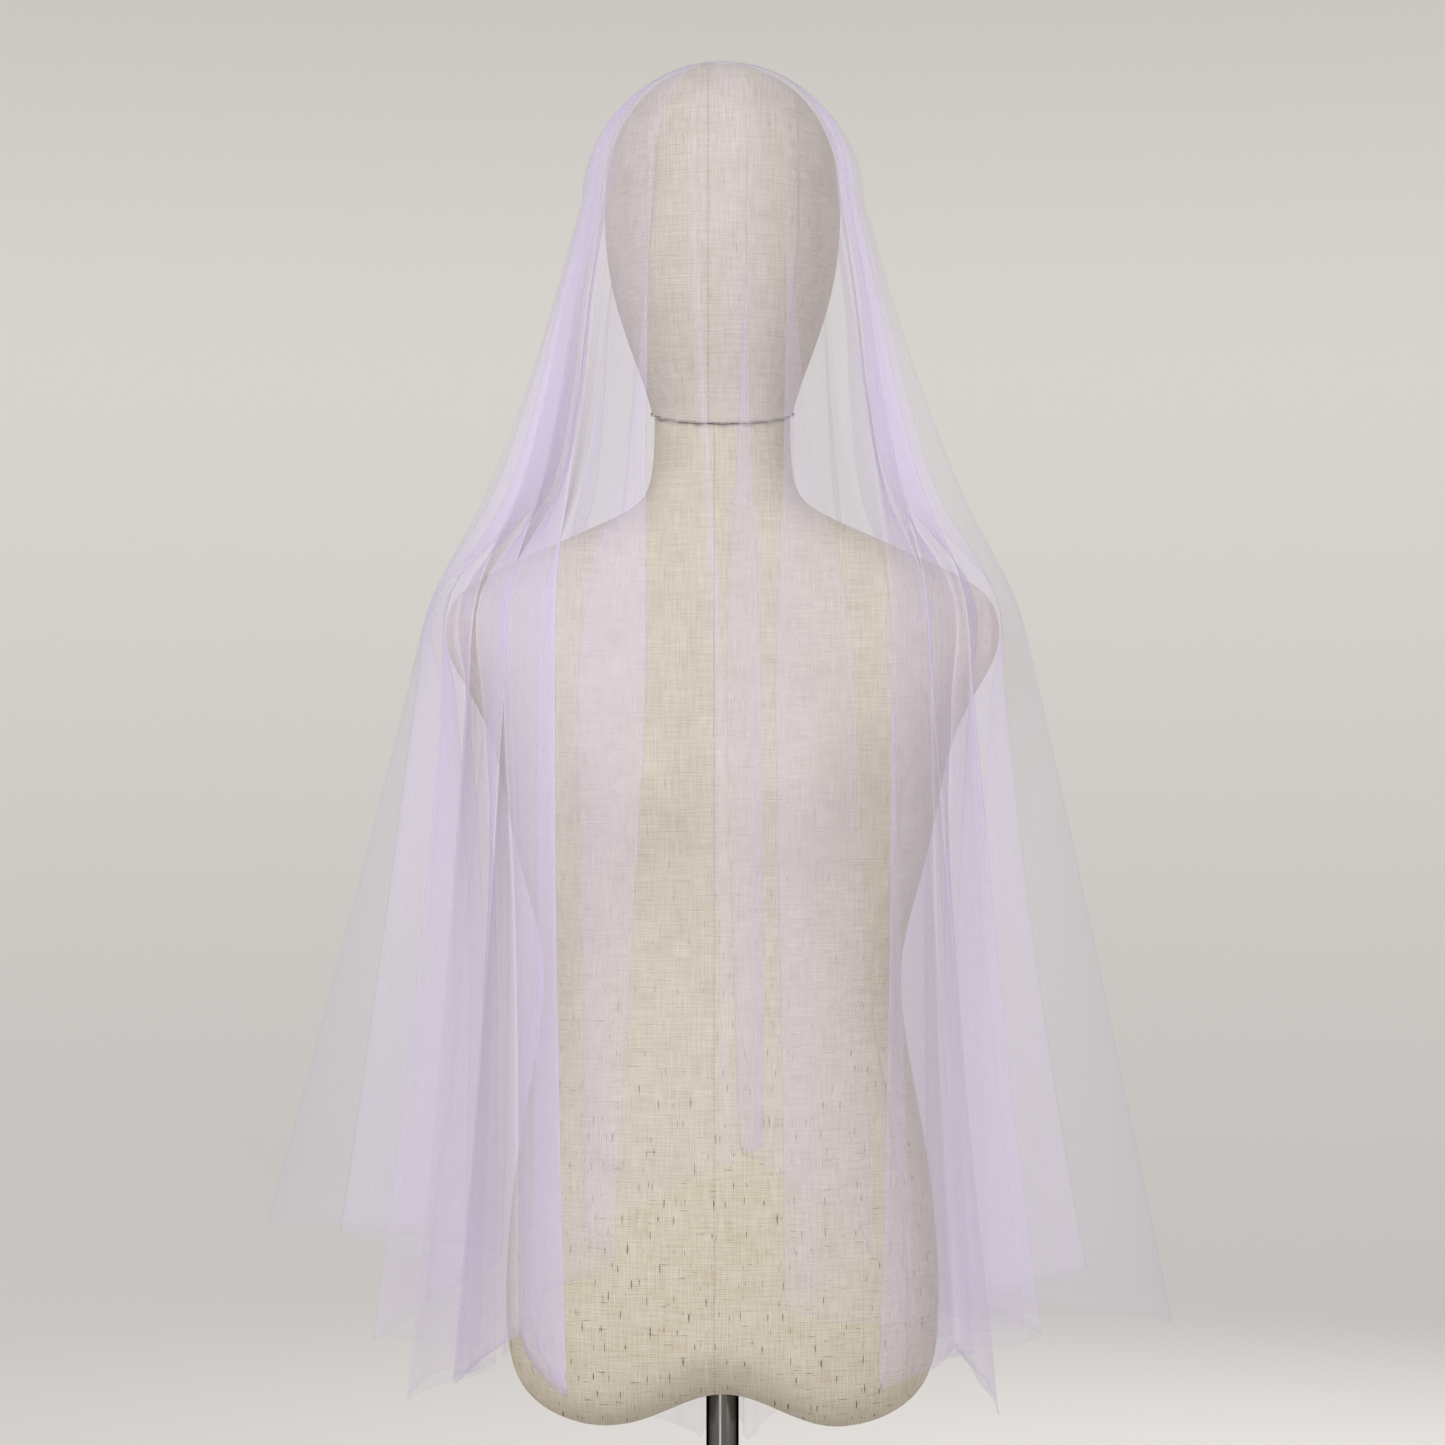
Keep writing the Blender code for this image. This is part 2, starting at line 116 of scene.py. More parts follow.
# %% Find the rim of the neck joint
NECK_SEAM_HEIGHT = 1.462
NECK_SEAM_TILT = math.radians(11)
NECK_GROOVE = 0.0012


def on_neck_seam(point):
    """Whether a point lies on the tilted plane of the joint between head and torso."""
    rise = point.z - NECK_SEAM_HEIGHT
    return abs(rise * math.cos(NECK_SEAM_TILT) - point.y * math.sin(NECK_SEAM_TILT)) < 0.0008


def select_sharp_edges(piece, wanted, sharp_degrees=35):
    """Select the edges where faces meet at a clear angle and both ends are in the wanted place."""
    bm = bmesh.new()
    bm.from_mesh(piece.data)
    for part in bm.verts[:] + bm.edges[:] + bm.faces[:]:
        part.select = False
    for edge in bm.edges:
        is_sharp = edge.calc_face_angle(0) > math.radians(sharp_degrees)
        edge.select = is_sharp and all(wanted(corner.co) for corner in edge.verts)
    found = sum(edge.select for edge in bm.edges)
    bm.to_mesh(piece.data)
    bm.free()
    return found


def round_form(piece, levels):
    """Bevel the neck rim, keep other sharp rims, and subdivide the rest smooth."""
    rim = select_sharp_edges(piece, on_neck_seam)
    make_active(piece)
    bpy.ops.object.mode_set(mode="EDIT")
    bpy.ops.mesh.select_mode(type="EDGE")
    bpy.ops.mesh.bevel(offset=NECK_GROOVE, segments=2)
    bpy.ops.object.mode_set(mode="OBJECT")
    bore = select_sharp_edges(piece, lambda place: place.x**2 + place.y**2 < 0.012**2)
    bpy.ops.object.mode_set(mode="EDIT")
    bpy.ops.transform.edge_crease(value=1)
    bpy.ops.object.mode_set(mode="OBJECT")
    rounding = piece.modifiers.new("rounding", "SUBSURF")
    rounding.levels = rounding.render_levels = levels
    print(piece.name, "rim edges:", rim, "bore edges:", bore)


# %% Make the head and the torso
head = copy_node("head", "head_linen")
round_form(head, levels=2)
finish_piece(head, "linen", "head", smooth_degrees=60)

torso = copy_node("torso", "torso_linen")
round_form(torso, levels=2)
finish_piece(torso, "linen", "torso", smooth_degrees=60)

# %% [markdown]
# ## The chrome stand
#
# A tube and a turned plate are simple round things, so both start as a cylinder. The plate's top is inset
# and pulled up for the hub, and every outer edge gets a small bevel, because a real chromed edge always
# catches a line of light.


# %% Round parts
def add_cylinder(piece_name, radius, low, high, sides):
    bpy.ops.object.select_all(action="DESELECT")
    bpy.ops.mesh.primitive_cylinder_add(
        vertices=sides, radius=radius, depth=high - low, location=(0, 0, (low + high) / 2))
    piece = bpy.context.object
    piece.name = piece.data.name = piece_name
    bpy.ops.object.transform_apply(location=True, rotation=True, scale=True)
    return piece


def soften_edges(piece, width, segments):
    bevel = piece.modifiers.new("soft edges", "BEVEL")
    bevel.width = width
    bevel.segments = segments
    bevel.limit_method = "ANGLE"
    bevel.angle_limit = math.radians(40)


# %% Make the pole and the base
ROUND_SIDES = 128
pole_low, pole_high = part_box("pole")
pole = add_cylinder("pole_chrome", pole_high.x, pole_low.z, pole_high.z, ROUND_SIDES)
soften_edges(pole, 0.0005, 2)
finish_piece(pole, "chrome", "pole")

base_low, base_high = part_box("base")
PLATE_THICKNESS = 0.008
HUB_RADIUS = 0.022
BORE_RADIUS = 0.0113
BORE_FLOOR = 0.003
base = add_cylinder("base_chrome", base_high.x, base_low.z, PLATE_THICKNESS, ROUND_SIDES)
make_active(base)


def select_top_face(piece):
    """Select the highest level face that looks up, in edit mode."""
    bpy.ops.object.mode_set(mode="OBJECT")
    for part in list(piece.data.vertices) + list(piece.data.edges) + list(piece.data.polygons):
        part.select = False
    level = [face for face in piece.data.polygons if face.normal.z > 0.99 and len(face.vertices) > 4]
    max(level, key=lambda face: face.center.z).select = True
    bpy.ops.object.mode_set(mode="EDIT")
    bpy.ops.mesh.select_mode(type="FACE")


select_top_face(base)
bpy.ops.mesh.inset(thickness=base_high.x - HUB_RADIUS)
bpy.ops.mesh.extrude_region_move(TRANSFORM_OT_translate={"value": (0, 0, base_high.z - PLATE_THICKNESS)})
bpy.ops.mesh.inset(thickness=HUB_RADIUS - BORE_RADIUS)
bpy.ops.mesh.extrude_region_move(TRANSFORM_OT_translate={"value": (0, 0, BORE_FLOOR - base_high.z)})
bpy.ops.object.mode_set(mode="OBJECT")
soften_edges(base, 0.0015, 3)
finish_piece(base, "chrome", "base")

# %% [markdown]
# ## The drape of the veil
#
# Net this light has almost no stiffness, so it hangs in long folds that start at the crown and open
# towards the hem. A full simulation would put the folds anywhere. Here they belong in known places, so the
# drape is a drawn one: at each height the cloth is a closed folded line that swings between an inner and an
# outer outline. The tables are the same ones that give the CAD solid its form.

# %% The two outlines, in centimetres
CROWN_HEIGHT = 169.88
TEMPLE_HEIGHT = 160.7
CROWN_ROUNDNESS = 2.1
STATION_COLUMNS = (
    "height", "side_in", "front_in", "back_in", "side_out", "front_out", "back_out", "squareness")
STATIONS = (
    (160.7, 8.3, 9.8, 10.4, 9.9, 10.9, 11.6, 2.00),
    (153.9, 9.8, 10.2, 10.7, 11.9, 12.4, 13.7, 2.00),
    (147.2, 10.4, 10.6, 11.0, 14.4, 13.4, 15.4, 2.00),
    (140.4, 12.0, 11.4, 11.2, 17.2, 14.6, 16.9, 2.15),
    (133.6, 19.2, 12.3, 11.5, 19.9, 15.8, 18.2, 2.40),
    (126.9, 18.0, 12.8, 11.8, 22.0, 16.8, 19.4, 2.35),
    (113.0, 16.4, 12.9, 12.1, 25.5, 18.6, 21.6, 2.20),
    (99.0, 16.4, 12.9, 12.6, 28.5, 20.4, 23.8, 2.10),
    (85.0, 16.6, 12.9, 12.9, 31.3, 22.2, 26.0, 2.10),
    (70.0, 16.8, 12.9, 12.9, 33.8, 24.1, 28.4, 2.10),
)


def column(table, names, name):
    """One named column of a table, as an array."""
    return np.array([float(row[names.index(name)]) for row in table])


def outline_value(height, name):
    """A column of the outlines read at any height, on a smooth curve through its rows."""
    heights = column(STATIONS, STATION_COLUMNS, "height")[::-1]
    values = column(STATIONS, STATION_COLUMNS, name)[::-1]
    slopes = np.diff(values) / np.diff(heights)
    tangents = np.concatenate((slopes[:1], (slopes[1:] + slopes[:-1]) / 2, slopes[-1:]))
    height = np.clip(height, heights[0], heights[-1])
    row = np.clip(np.searchsorted(heights, height) - 1, 0, len(heights) - 2)
    step = heights[row + 1] - heights[row]
    t = (height - heights[row]) / step
    start = (2 * t**3 - 3 * t**2 + 1) * values[row] + (t**3 - 2 * t**2 + t) * step * tangents[row]
    end = (3 * t**2 - 2 * t**3) * values[row + 1] + (t**3 - t**2) * step * tangents[row + 1]
    return start + end


def plan_radius(azimuth, side, front, back, squareness):
    """Distance from the middle to a rounded outline with its own half width, front and back depth."""
    sine, cosine = np.abs(np.sin(azimuth)), np.abs(np.cos(azimuth))
    depth = np.where(np.cos(azimuth) > 0, front, back)
    return ((sine / side) ** squareness + (cosine / depth) ** squareness) ** (-1 / squareness)


# %% [markdown]
# Each fold has a ridge, and a valley after it. Their directions round the form are given at the temples,
# the shoulders and the hem. Where a ridge's direction passes that of a valley beside it, the fold leans
# over flat, as the front pleats do. The last three columns are the valley's own reach and the heights where
# ridge and valley end at the raw hem.

# %% The folds, from the left side round the front to the back
FOLD_LEVELS = (166.0, 130.0, 88.0)
BELOW_HEM_LEVEL = 1.5
FOLD_COLUMNS = (
    "name",
    "ridge_temple", "ridge_shoulder", "ridge_hem",
    "valley_temple", "valley_shoulder", "valley_hem",
    "reach_temple", "reach_shoulder", "reach_hem",
    "valley_reach", "ridge_end", "valley_end")
FOLDS = (
    ("left_flare", -100, -94, -90, -90, -80, -70, 0.90, 1.00, 1.22, 0.10, 91.8, 92.0),
    ("left_side", -87, -78, -72, -79, -72, -65, 0.80, 0.80, 0.90, 0.10, 92.2, 89.0),
    ("left_third", -77, -66, -58, -71, -67, -61, 0.80, 0.70, 0.95, 0.10, 86.1, 85.0),
    ("left_second", -69, -56, -52, -64, -62, -56, 0.80, 0.80, 0.90, 0.12, 82.5, 84.0),
    ("left_first", -61, -47, -43, -56, -57, -52, 0.80, 0.80, 0.95, 0.10, 84.0, 86.0),
    ("left_pleat", -52, -34, -23, -42, -47, -46, 0.90, 1.00, 1.00, 0.25, 83.7, 88.0),
    ("left_front_pleat", -27, -13, -16, -23, -41, -37, 1.00, 1.00, 1.00, 0.10, 92.0, 93.0),
    ("centre_crease", -13, 1, 4, 8, 12, 12, 0.70, 0.36, 0.36, 0.10, 97.5, 98.5),
    ("centre_pleat", 11, -2, 2, 22, 38, 42, 0.90, 0.76, 0.80, 0.10, 98.5, 92.0),
    ("right_front_pleat", 24, 8, 6, 38, 43, 46, 1.00, 1.00, 1.00, 0.25, 89.0, 87.0),
    ("right_pleat", 52, 35, 23, 56, 52, 54, 0.90, 1.00, 1.00, 0.25, 84.3, 85.0),
    ("right_first", 60, 44, 42, 64, 59, 58, 0.80, 0.90, 1.00, 0.10, 82.3, 85.0),
    ("right_second", 68, 55, 54, 72, 64, 61, 0.80, 0.80, 0.90, 0.10, 86.3, 88.0),
    ("right_third", 77, 67, 66, 82, 72, 67, 0.80, 0.70, 0.90, 0.10, 90.0, 88.0),
    ("right_flare", 91, 90, 90, 104, 120, 124, 0.90, 1.00, 1.06, 0.00, 84.9, 84.0),
    ("back_right_outer", 112, 122, 124, 121, 131, 134, 0.80, 0.80, 0.85, 0.00, 82.0, 81.0),
    ("back_right_third", 127, 136, 138, 135, 143, 146, 0.80, 0.90, 1.00, 0.05, 79.0, 78.0),
    ("back_right_second", 142, 150, 152, 149, 157, 159, 0.80, 0.80, 0.85, 0.00, 77.0, 76.0),
    ("back_right_first", 158, 164, 166, 166, 171, 173, 0.80, 0.90, 0.95, 0.00, 75.0, 74.0),
    ("back_middle", 174, 178, 179, 182, 185, 186, 0.80, 1.00, 1.00, 0.05, 73.5, 74.0),
    ("back_left_first", 190, 192, 193, 199, 199, 200, 0.80, 0.80, 0.90, 0.00, 74.0, 76.0),
    ("back_left_second", 207, 206, 206, 215, 213, 213, 0.80, 0.90, 1.00, 0.05, 76.0, 79.0),
    ("back_left_third", 223, 220, 219, 231, 226, 226, 0.80, 0.80, 0.85, 0.00, 79.0, 82.0),
    ("back_left_outer", 240, 234, 232, 250, 241, 238, 0.80, 0.90, 0.95, 0.05, 83.5, 88.0),
)
FOLD_COUNT = len(FOLDS)
LEVELS = ("temple", "shoulder", "hem")


def level_table(kind):
    """One quantity of all the folds at the three levels."""
    return np.column_stack([column(FOLDS, FOLD_COLUMNS, kind + "_" + level) for level in LEVELS])


RIDGE_AZIMUTHS = level_table("ridge")
VALLEY_AZIMUTHS = level_table("valley")
RIDGE_REACHES = level_table("reach")
VALLEY_REACHES = column(FOLDS, FOLD_COLUMNS, "valley_reach")
RIDGE_ENDS = column(FOLDS, FOLD_COLUMNS, "ridge_end")
VALLEY_ENDS = column(FOLDS, FOLD_COLUMNS, "valley_end")
print("folds:", FOLD_COUNT)

# %% [markdown]
# The folded line is a rounded curve over four corners a fold. Two corners sit close to each turn, so the
# flanks stay straight and the turns are tight, which is how net folds. The knee where the folds pass the
# shoulders is eased over a short height, so no fold line has a kink in it.

# %% A point of the cloth
TURN_SHARE = 0.125
KNEE_EASE = 9.0


def at_height(levels, height):
    """Values given at the temple, shoulder and hem levels, read at any height with an eased knee."""
    temple, shoulder, hem = FOLD_LEVELS
    upper_slope = (levels[..., 0] - levels[..., 1]) / (temple - shoulder)
    lower_slope = (levels[..., 2] - levels[..., 1]) / (hem - shoulder)
    rise = np.clip(height, hem - (BELOW_HEM_LEVEL - 1) * (shoulder - hem), temple) - shoulder
    soft = np.sqrt(rise**2 + KNEE_EASE**2) - KNEE_EASE * KNEE_EASE / np.sqrt(rise**2 + KNEE_EASE**2)
    middle = (upper_slope + lower_slope) / 2
    half_difference = (upper_slope - lower_slope) / 2
    return levels[..., 1] + middle * rise + half_difference * soft


def fold_corner(index, height):
    """One corner of the folded line at a height, as azimuth and reach. Four corners make a fold."""
    turn, index = np.divmod(index, 4 * FOLD_COUNT)
    fold, kind = np.divmod(index, 4)
    before = (fold - 1) % FOLD_COUNT
    ridge = np.stack([at_height(RIDGE_AZIMUTHS[fold], height), at_height(RIDGE_REACHES[fold], height)])
    first = np.stack([at_height(VALLEY_AZIMUTHS[before], height), VALLEY_REACHES[before]])
    last = np.stack([at_height(VALLEY_AZIMUTHS[fold], height), VALLEY_REACHES[fold]])
    first[0] -= np.where(fold == 0, 360, 0)
    near, far = 1 - TURN_SHARE, TURN_SHARE
    corners = (
        near * first + far * ridge,
        near * ridge + far * first,
        near * ridge + far * last,
        near * last + far * ridge)
    corner = np.select([kind == place for place in range(4)], corners)
    corner[0] += 360 * turn
    return corner


def cloth_point(around, height):
    """A point of the cloth. It counts four steps for each fold, with the ridge at two."""
    place = around - 0.5
    corner = np.rint(place).astype(int)
    t = place - corner + 0.5
    before, here, after = (fold_corner(corner + offset, height) for offset in (-1, 0, 1))
    azimuth, reach = (1 - t) ** 2 / 2 * before + (0.75 - (t - 0.5) ** 2) * here + t**2 / 2 * after
    azimuth = np.radians(azimuth)
    station = [outline_value(height, name) for name in STATION_COLUMNS[1:]]
    inner = plan_radius(azimuth, *station[0:3], station[-1])
    outer = plan_radius(azimuth, *station[3:6], station[-1])
    rise = np.clip((height - TEMPLE_HEIGHT) / (CROWN_HEIGHT - TEMPLE_HEIGHT), 0, 1)
    share = (1 - rise**CROWN_ROUNDNESS) ** (1 / CROWN_ROUNDNESS)
    radius = (inner + (outer - inner) * reach * share**2) * share
    return np.stack([radius * np.sin(azimuth), -radius * np.cos(azimuth), height], axis=-1)


# %% [markdown]
# ## The grid of the cloth
#
# Rings run from the crown to the hem. The hem is raw and follows the folds, lower at some and higher at
# others, with the small unevenness of scissors.

# %% Rings of points
COLUMNS_PER_FOLD = 24
CROWN_RINGS = 13
UPPER_RINGS = 24
LOWER_RINGS = 44
SHOULDER_HEIGHT = 132.5
COLUMN_COUNT = FOLD_COUNT * COLUMNS_PER_FOLD
AROUND = np.arange(COLUMN_COUNT) * 4 / COLUMNS_PER_FOLD


def hem_height(around):
    """Where the cloth ends, rounded from valley to ridge and on to the next valley."""
    ends = np.column_stack([np.roll(VALLEY_ENDS, 1), RIDGE_ENDS]).ravel()
    index = np.floor(around / 2).astype(int)
    t = around / 2 - index
    t = t * t * (3 - 2 * t)
    ends = ends[index % len(ends)] * (1 - t) + ends[(index + 1) % len(ends)] * t
    snip = 0.18 * np.sin(around * 1.9) + 0.12 * np.sin(around * 4.3 + 1)
    return ends + snip


def cloth_rings():
    """All the rings, as an array of (ring, column, xyz) in centimetres."""
    angles = np.radians(np.linspace(86, 6, CROWN_RINGS))
    heights = list(TEMPLE_HEIGHT + (CROWN_HEIGHT - TEMPLE_HEIGHT) * np.sin(angles))
    heights += list(np.linspace(TEMPLE_HEIGHT, SHOULDER_HEIGHT, UPPER_RINGS))
    rings = [cloth_point(AROUND, np.full(COLUMN_COUNT, height)) for height in heights]
    hem = hem_height(AROUND)
    for share in np.linspace(0, 1, LOWER_RINGS + 1)[1:]:
        rings.append(cloth_point(AROUND, SHOULDER_HEIGHT + (hem - SHOULDER_HEIGHT) * share))
    return np.array(rings)


rings = cloth_rings()
print("rings and columns:", rings.shape[:2])

# %% [markdown]
# ## Small creases
#
# Between the big folds the net has soft troughs and ridges, none like the next. Each row of the table is
# one of them: where it runs round the veil at its top and bottom (four steps a fold), the heights where it
# starts and fades, its width in the same steps, and its depth in millimetres, outwards if positive.

# %% The creases
CREASES = (
    # start around, end around, top, bottom, width, depth
    (1.1, 1.0, 125, 90, 0.30, 3.0), (3.0, 2.9, 140, 95, 0.25, -2.5),
    (5.2, 5.0, 130, 88, 0.28, 3.0), (9.1, 9.3, 120, 84, 0.30, -3.0),
    (13.0, 13.1, 132, 86, 0.25, 2.5), (17.2, 17.0, 118, 84, 0.22, -2.0),
    (25.0, 25.1, 138, 92, 0.22, 1.5), (27.2, 27.1, 128, 90, 0.20, -1.5),
    (29.1, 29.0, 125, 94, 0.30, 2.0), (33.0, 33.1, 120, 92, 0.30, -2.0),
    (37.0, 37.2, 128, 86, 0.25, 1.8), (41.2, 41.0, 118, 84, 0.25, -1.8),
    (45.1, 45.0, 130, 84, 0.22, 2.2), (47.0, 47.1, 122, 84, 0.25, -2.4),
    (49.1, 49.0, 126, 86, 0.28, 2.6), (53.0, 53.2, 134, 88, 0.30, -3.0),
    (55.1, 55.0, 120, 85, 0.25, 3.5), (57.0, 57.3, 138, 86, 0.35, 3.5),
    (59.0, 59.2, 118, 82, 0.30, -3.5), (61.2, 61.0, 130, 82, 0.28, 3.0),
    (63.1, 63.2, 142, 80, 0.30, -3.0), (65.0, 65.1, 125, 78, 0.25, 3.0),
    (67.2, 67.0, 136, 77, 0.30, 3.5), (69.0, 69.2, 122, 76, 0.28, -3.0),
    (71.1, 71.0, 140, 76, 0.30, 3.0), (73.0, 73.1, 118, 75, 0.25, -3.5),
    (75.2, 75.0, 134, 74, 0.28, 3.0), (77.0, 77.1, 126, 74, 0.30, 3.5),
    (79.0, 78.8, 142, 74, 0.28, -3.0), (81.1, 81.2, 120, 75, 0.30, 3.0),
    (83.0, 83.1, 132, 76, 0.25, -3.5), (85.2, 85.0, 124, 77, 0.30, 3.0),
    (87.0, 87.2, 138, 79, 0.28, 3.0), (89.1, 89.0, 118, 81, 0.30, -3.5),
    (91.0, 91.1, 130, 84, 0.25, 3.0), (93.1, 93.0, 140, 86, 0.30, -3.0),
)


def face_normals(grid):
    """Unit normals of a grid of points that closes on itself from side to side."""
    down = np.gradient(grid, axis=0)
    along = (np.roll(grid, -1, axis=1) - np.roll(grid, 1, axis=1)) / 2
    normals = np.cross(down, along)
    return normals / np.maximum(np.linalg.norm(normals, axis=-1, keepdims=True), 1e-9)


def crease_depth(grid):
    """How far each point moves along its normal, in centimetres."""
    height = grid[..., 2]
    total = np.zeros(height.shape)
    period = 4 * FOLD_COUNT
    for start, end, top, bottom, width, depth in CREASES:
        share = np.clip((top - height) / (top - bottom), 0, 1)
        middle = start + (end - start) * share
        aside = (AROUND[None, :] - middle + period / 2) % period - period / 2
        total += depth / 10 * np.exp(-((aside / width) ** 2)) * share**1.5
    return total


rings = rings + face_normals(rings) * crease_depth(rings)[..., None]
print("creases:", len(CREASES))


# %% [markdown]
# ## The veil's mesh
#
# The cloth is a thin shell: one sheet of quads with a fan at the crown, given a wall of a third of a
# millimetre. Its UV map is the cut itself, the place of each point on the flat oval, so the net follows the
# cloth round every fold. A second map counts the folds round the veil, so that streaks can run down it.


# %% Build the sheet
def cut_layout(grid):
    """Each point's place on the flat cut, from its path down the cloth and its share of the way round."""
    steps = np.linalg.norm(np.diff(grid, axis=0), axis=-1)
    first = np.linalg.norm(grid[0] - np.array((0, 0, CROWN_HEIGHT)), axis=-1)
    path = np.vstack([first[None, :], first[None, :] + np.cumsum(steps, axis=0)]) * CM
    path = np.broadcast_to(path.mean(axis=1, keepdims=True), path.shape) * 0.5 + path * 0.5
    widths = np.linalg.norm(np.roll(grid, -1, axis=1) - grid, axis=-1)
    arcs = np.cumsum(widths, axis=1) - widths
    angle = 2 * math.pi * arcs / widths.sum(axis=1, keepdims=True)
    return np.stack([path * np.sin(angle), -path * np.cos(angle)], axis=-1)


def sheet_mesh(mesh_name, grid):
    """Quads between the rings and a fan at the crown, with the cut and the folds as UV maps."""
    count = grid.shape[1]
    points = np.vstack([grid.reshape(-1, 3), [[0, 0, CROWN_HEIGHT]]]) * CM
    layout = np.vstack([cut_layout(grid).reshape(-1, 2), [[0, 0]]])
    tip = len(points) - 1
    places = np.tile(np.arange(count) * FOLD_COUNT / count, grid.shape[0])
    places = np.column_stack([np.append(places, FOLD_COUNT / 2), points[:, 2]])
    faces = []
    for row in range(grid.shape[0] - 1):
        for i in range(count):
            j = (i + 1) % count
            a, b = row * count, (row + 1) * count
            faces.append((a + i, b + i, b + j, a + j))
    faces += [(tip, i, (i + 1) % count) for i in range(count)]
    mesh = bpy.data.meshes.new(mesh_name)
    mesh.from_pydata(points.tolist(), [], faces)
    uv_map = mesh.uv_layers.new(name="cut")
    corners = np.empty(len(mesh.loops), dtype=int)
    mesh.loops.foreach_get("vertex_index", corners)
    uv_map.data.foreach_set("uv", layout[corners].ravel())
    across = places[corners]
    across = across.reshape(-1, across.shape[-1])
    starts = np.array([face.loop_start for face in mesh.polygons])
    sizes = np.array([face.loop_total for face in mesh.polygons])
    widest = np.repeat(np.maximum.reduceat(across[:, 0], starts), sizes)
    across[:, 0] += np.where(widest - across[:, 0] > FOLD_COUNT * 0.75, FOLD_COUNT, 0)
    mesh.uv_layers.new(name="folds").data.foreach_set("uv", across.ravel())
    return mesh


CLOTH_WALL = 0.0003
veil = bpy.data.objects.new("veil_tulle", sheet_mesh("veil_tulle", rings))
bpy.context.scene.collection.objects.link(veil)

# %% [markdown]
# At both sides the net is drawn together in gathers too fine to model one by one. They make it denser, in
# long bands that hang from the shoulders. Each row of the table is one band: the middle and half width of
# it round the veil, and how much denser it makes the net at five heights.

# %% Gathers
GATHER_FLATNESS = 6
GATHER_HEIGHTS = (85, 110, 132, 150, 165)
GATHERS = (
    # middle, half width, and the strength at each height
    (14.8, 8.0, 0.8, 1.2, 6.0, 3.6, 2.0),
    (21.6, 2.3, 3.0, 3.2, 3.0, 1.0, 0.3),
    (19.0, 2.0, 1.6, 2.0, 2.0, 0.6, 0.2),
    (25.6, 1.4, 0.5, 0.5, 0.9, 1.6, 1.4),
    (30.0, 0.14, 3.5, 3.5, 3.5, 3.5, 1.5),
    (31.8, 0.9, 1.2, 1.2, 1.2, 1.4, 1.2),
    (34.0, 0.9, 1.0, 1.0, 1.0, 1.2, 1.0),
    (38.5, 1.4, 0.5, 0.5, 0.6, 0.8, 0.6),
    (43.0, 1.4, 1.4, 1.6, 1.6, 0.8, 0.3),
    (48.0, 5.2, 1.2, 1.6, 6.0, 3.6, 2.0),
    (63.5, 3.4, 0.6, 0.6, 0.8, 0.6, 0.1),
    (92.5, 3.4, 0.6, 0.6, 0.8, 0.6, 0.1),
)


def gather_values(grid):
    """How much denser the net is at each point of the sheet, the crown's point last."""
    total = np.zeros(grid.shape[:2])
    period = 4 * FOLD_COUNT
    for middle, half_width, *strengths in GATHERS:
        aside = (AROUND[None, :] - middle + period / 2) % period - period / 2
        band = 1 / (1 + (aside / half_width) ** GATHER_FLATNESS)
        total += band * np.interp(grid[..., 2], GATHER_HEIGHTS, strengths)
    return np.append(total.ravel(), 0)


gather = veil.data.attributes.new("gather", "FLOAT", "POINT")
gather.data.foreach_set("value", gather_values(rings))
print("gathers:", len(GATHERS))

# %% Give the sheet its wall
cloth_area = sum(face.area for face in veil.data.polygons)
wall = veil.modifiers.new("cloth wall", "SOLIDIFY")
wall.thickness = CLOTH_WALL
wall.offset = 1
finish_piece(veil, "tulle", "veil", smooth_degrees=180)
# The cell on the lamps says why the net casts no shadow.
veil.visible_shadow = veil.visible_diffuse = veil.visible_glossy = False

# %% [markdown]
# The cut is an oval with the crown a little in front of its middle. The flat size is what a maker would lay
# out: the path over the crown from side to side, and from the front hem to the back hem. The cloth above
# has about four fifths of the oval's area. The rest of the real net is in gathers too fine to model, which
# the density of the net stands for.

print("cloth area:", round(cloth_area, 3), "m2")


# %% [markdown]
# ## Shader maths as expressions
#
# A small class wraps a socket, so that a pattern can be written as a formula. Each operation adds one Math
# node. Other nodes come from one method that takes the node's type, its settings and its inputs.


